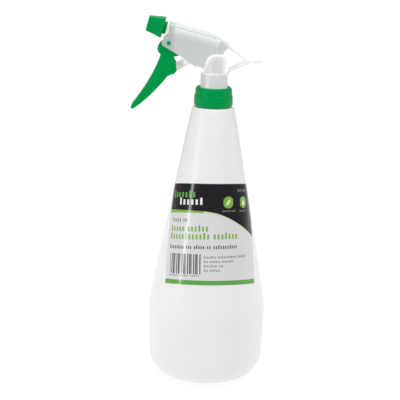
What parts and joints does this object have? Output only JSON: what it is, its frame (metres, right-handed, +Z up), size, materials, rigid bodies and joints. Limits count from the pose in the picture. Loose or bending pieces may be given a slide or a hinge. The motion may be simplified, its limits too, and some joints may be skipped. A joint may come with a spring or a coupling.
{
  "type": "trigger spray bottle",
  "caption": "Hand mister: tapered white bottle with a screw-on trigger pump head, square turning nozzle and a hand-rest loop",
  "frame": {"origin": "on the bottle's axis at the plane it stands on", "axes": "+Z up along the bottle's axis; -X is the way the nozzle and trigger point, +X the hand rest; +Y is the far side, and the label faces -Y"},
  "size_m": [0.1126, 0.0948, 0.293],
  "materials": {
    "bottle_shell": "milky translucent white polyethylene, soft satin",
    "label_film": null,
    "green_plastic": "smooth moulded emerald green polypropylene",
    "white_plastic": "natural white moulded polypropylene",
    "shroud_plastic": "pale grey-white moulded plastic, semi-gloss",
    "tube_plastic": "translucent natural polyethylene",
    "seal_rubber": "black soft seal rubber",
    "gasket_foam": "off-white foamed gasket",
    "spring_steel": "bright stainless wire and balls"
  },
  "bodies": {
    "bottle": {"bottle": "bottle_shell", "label": "label_film"},
    "head": {"neck_gasket": "gasket_foam", "pump_body": "white_plastic", "tube_retainer": "white_plastic", "dip_tube": "tube_plastic", "tube_strainer": "white_plastic", "rod_wiper": "seal_rubber", "return_spring": "spring_steel", "shroud": "shroud_plastic", "outlet_spring": "spring_steel", "swirl_insert": "white_plastic", "nozzle_seal": "seal_rubber"},
    "collar": {"collar": "green_plastic"},
    "trigger": {"trigger": "green_plastic"},
    "piston": {"piston": "white_plastic", "piston_seal": "seal_rubber"},
    "nozzle": {"nozzle_cap": "green_plastic", "orifice_insert": "green_plastic"},
    "inlet_ball": {"inlet_ball": "spring_steel"},
    "outlet_ball": {"outlet_ball": "spring_steel"}
  },
  "joints": [
    {"name": "head_lift", "type": "slide", "parent": "bottle", "child": "head", "axis": [0, 0, 1], "range_m": [0, 0.00634]},
    {"name": "collar_turn", "type": "hinge", "parent": "head", "child": "collar", "pos_m": [0, 0, 0.2312], "axis": [0, 0, 1], "range_deg": [0, 540]},
    {"name": "trigger_pivot", "type": "hinge", "parent": "head", "child": "trigger", "pos_m": [-0.0363, 0, 0.273], "axis": [0, -1, 0], "range_deg": [0, 22.21], "stiffness_Nm_per_rad": 0.36, "springref_deg": -16.04},
    {"name": "piston_slide", "type": "slide", "parent": "head", "child": "piston", "axis": [0.8746, 0, 0.4848], "range_m": [0, 0.008], "deforming": ["return_spring"]},
    {"name": "nozzle_turn", "type": "hinge", "parent": "head", "child": "nozzle", "pos_m": [-0.04085, 0, 0.28425], "axis": [-0.9703, 0, 0.2419], "continuous": true},
    {"name": "inlet_ball_lift", "type": "slide", "parent": "head", "child": "inlet_ball", "axis": [0, 0, 1], "range_m": [0, 0.001]},
    {"name": "outlet_ball_lift", "type": "slide", "parent": "head", "child": "outlet_ball", "axis": [-0.9703, 0, 0.2419], "range_m": [0, 0.0008], "stiffness_N_per_m": 60, "springref_m": -0.0008, "deforming": ["outlet_spring"]}
  ],
  "couplings": [
    {"joint": "collar_turn", "follows": "head_lift", "rad_per_m": 1485.4},
    {"joint": "trigger_pivot", "follows": "piston_slide", "rad_per_m": 48.448}
  ]
}
